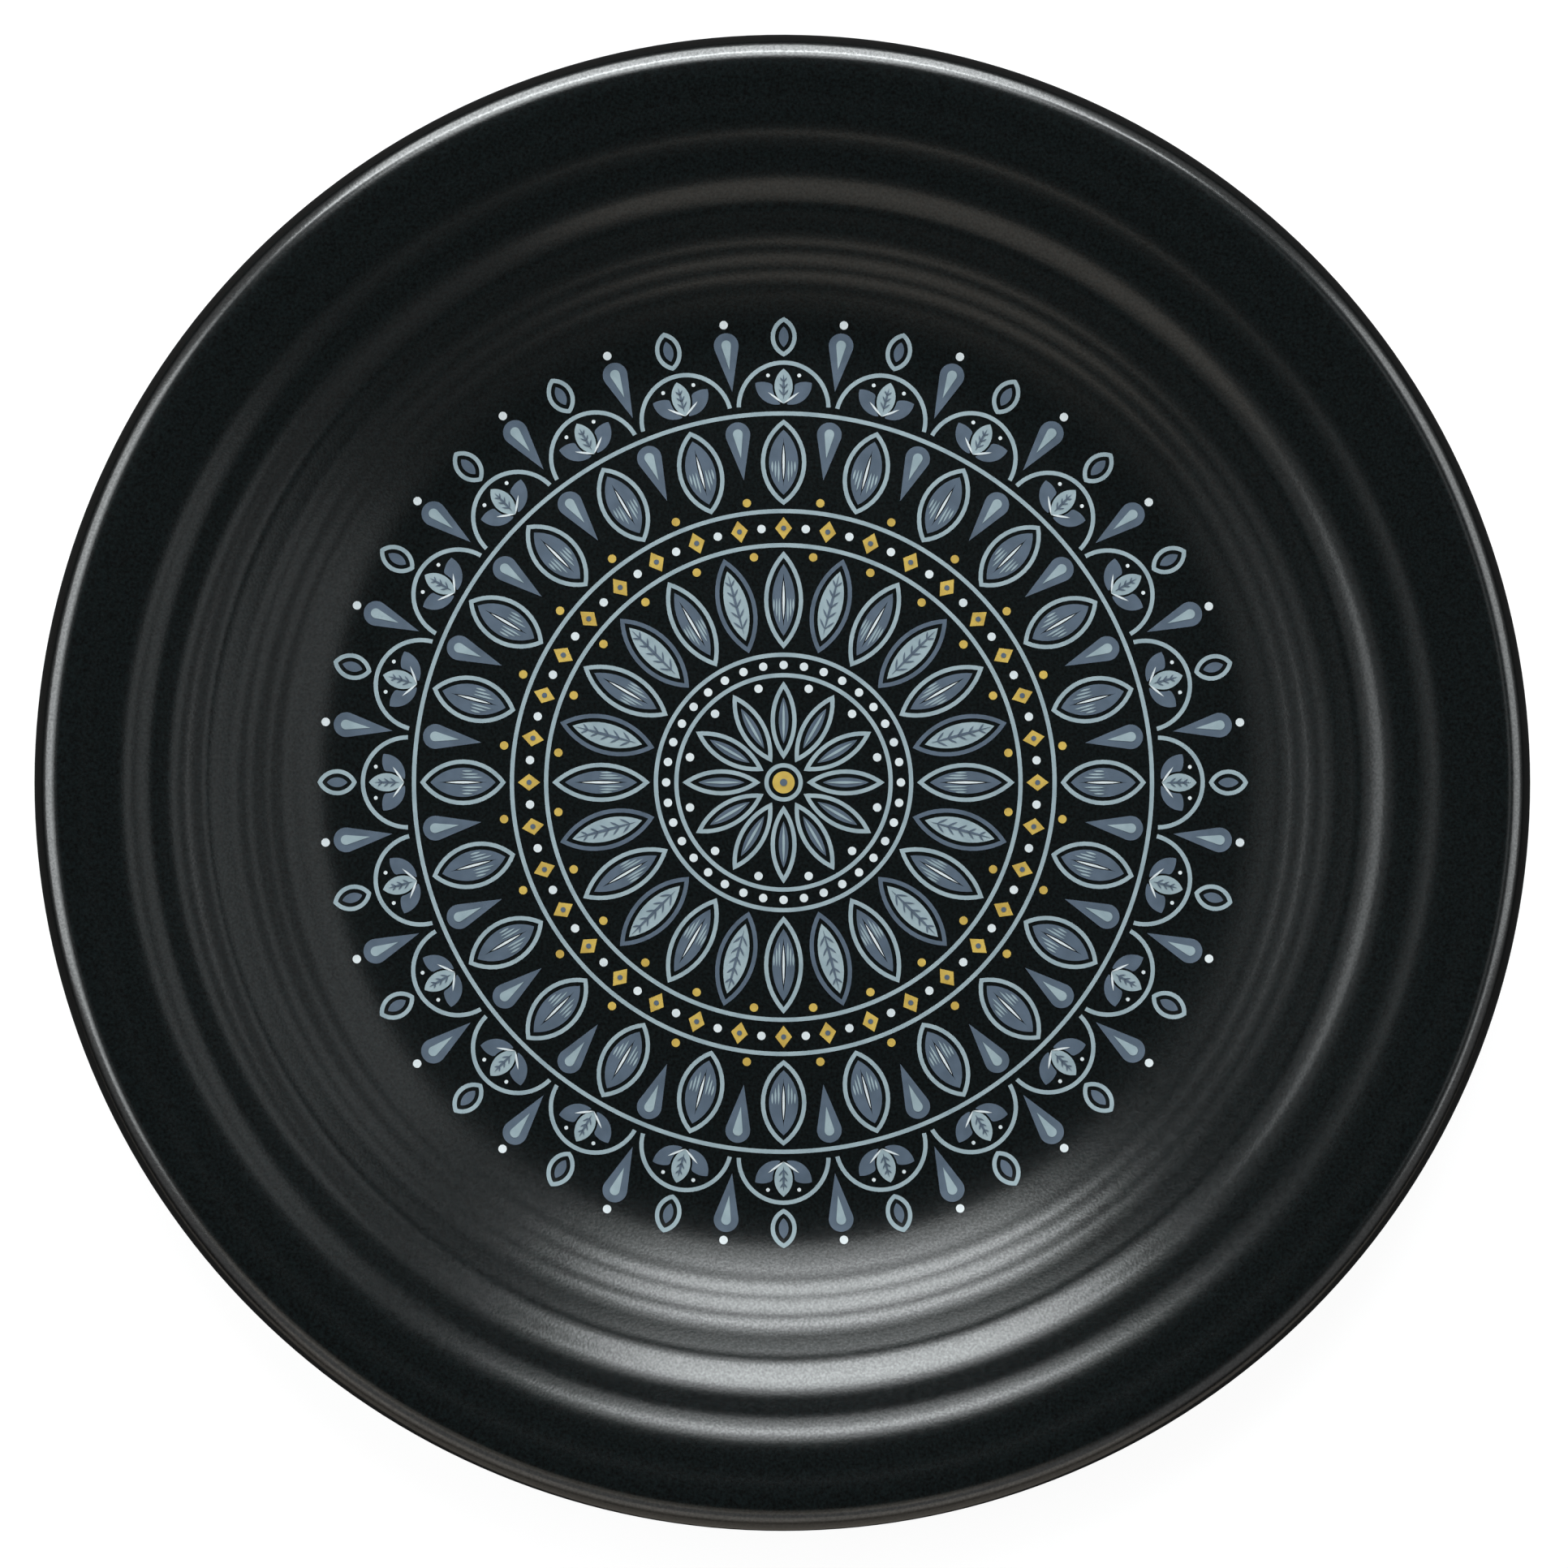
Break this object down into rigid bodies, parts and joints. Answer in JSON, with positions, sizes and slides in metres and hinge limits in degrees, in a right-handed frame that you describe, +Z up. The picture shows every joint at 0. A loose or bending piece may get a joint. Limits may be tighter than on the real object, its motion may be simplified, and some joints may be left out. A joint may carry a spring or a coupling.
{
  "type": "decorated ceramic plate",
  "caption": "Round black satin-glazed ceramic plate with concentric rings, a rolled lip, a foot ring and a printed rosette in blue-grey, slate, white and gold.",
  "frame": {"origin": "centre of the foot ring's underside, where the plate stands", "axes": "+Z up along the plate's axis; +Y points to the top of the printed rosette"},
  "size_m": [0.2286, 0.2286, 0.0192],
  "materials": {
    "clay": "bare vitrified clay, fine and dull",
    "black_glaze": "black satin glaze with a fine grain",
    "pale_enamel": "printed enamel, satin, pale blue-grey",
    "slate_enamel": "printed enamel, satin, slate blue",
    "white_enamel": "printed enamel, satin, white",
    "gold_enamel": "printed enamel, satin, ochre gold"
  },
  "bodies": {
    "root": {"clay_body": "clay", "face_glaze": "black_glaze", "recess_glaze": "black_glaze", "pale_enamel": "pale_enamel", "slate_enamel": "slate_enamel", "white_enamel": "white_enamel", "gold_enamel": "gold_enamel"}
  },
  "joints": []
}
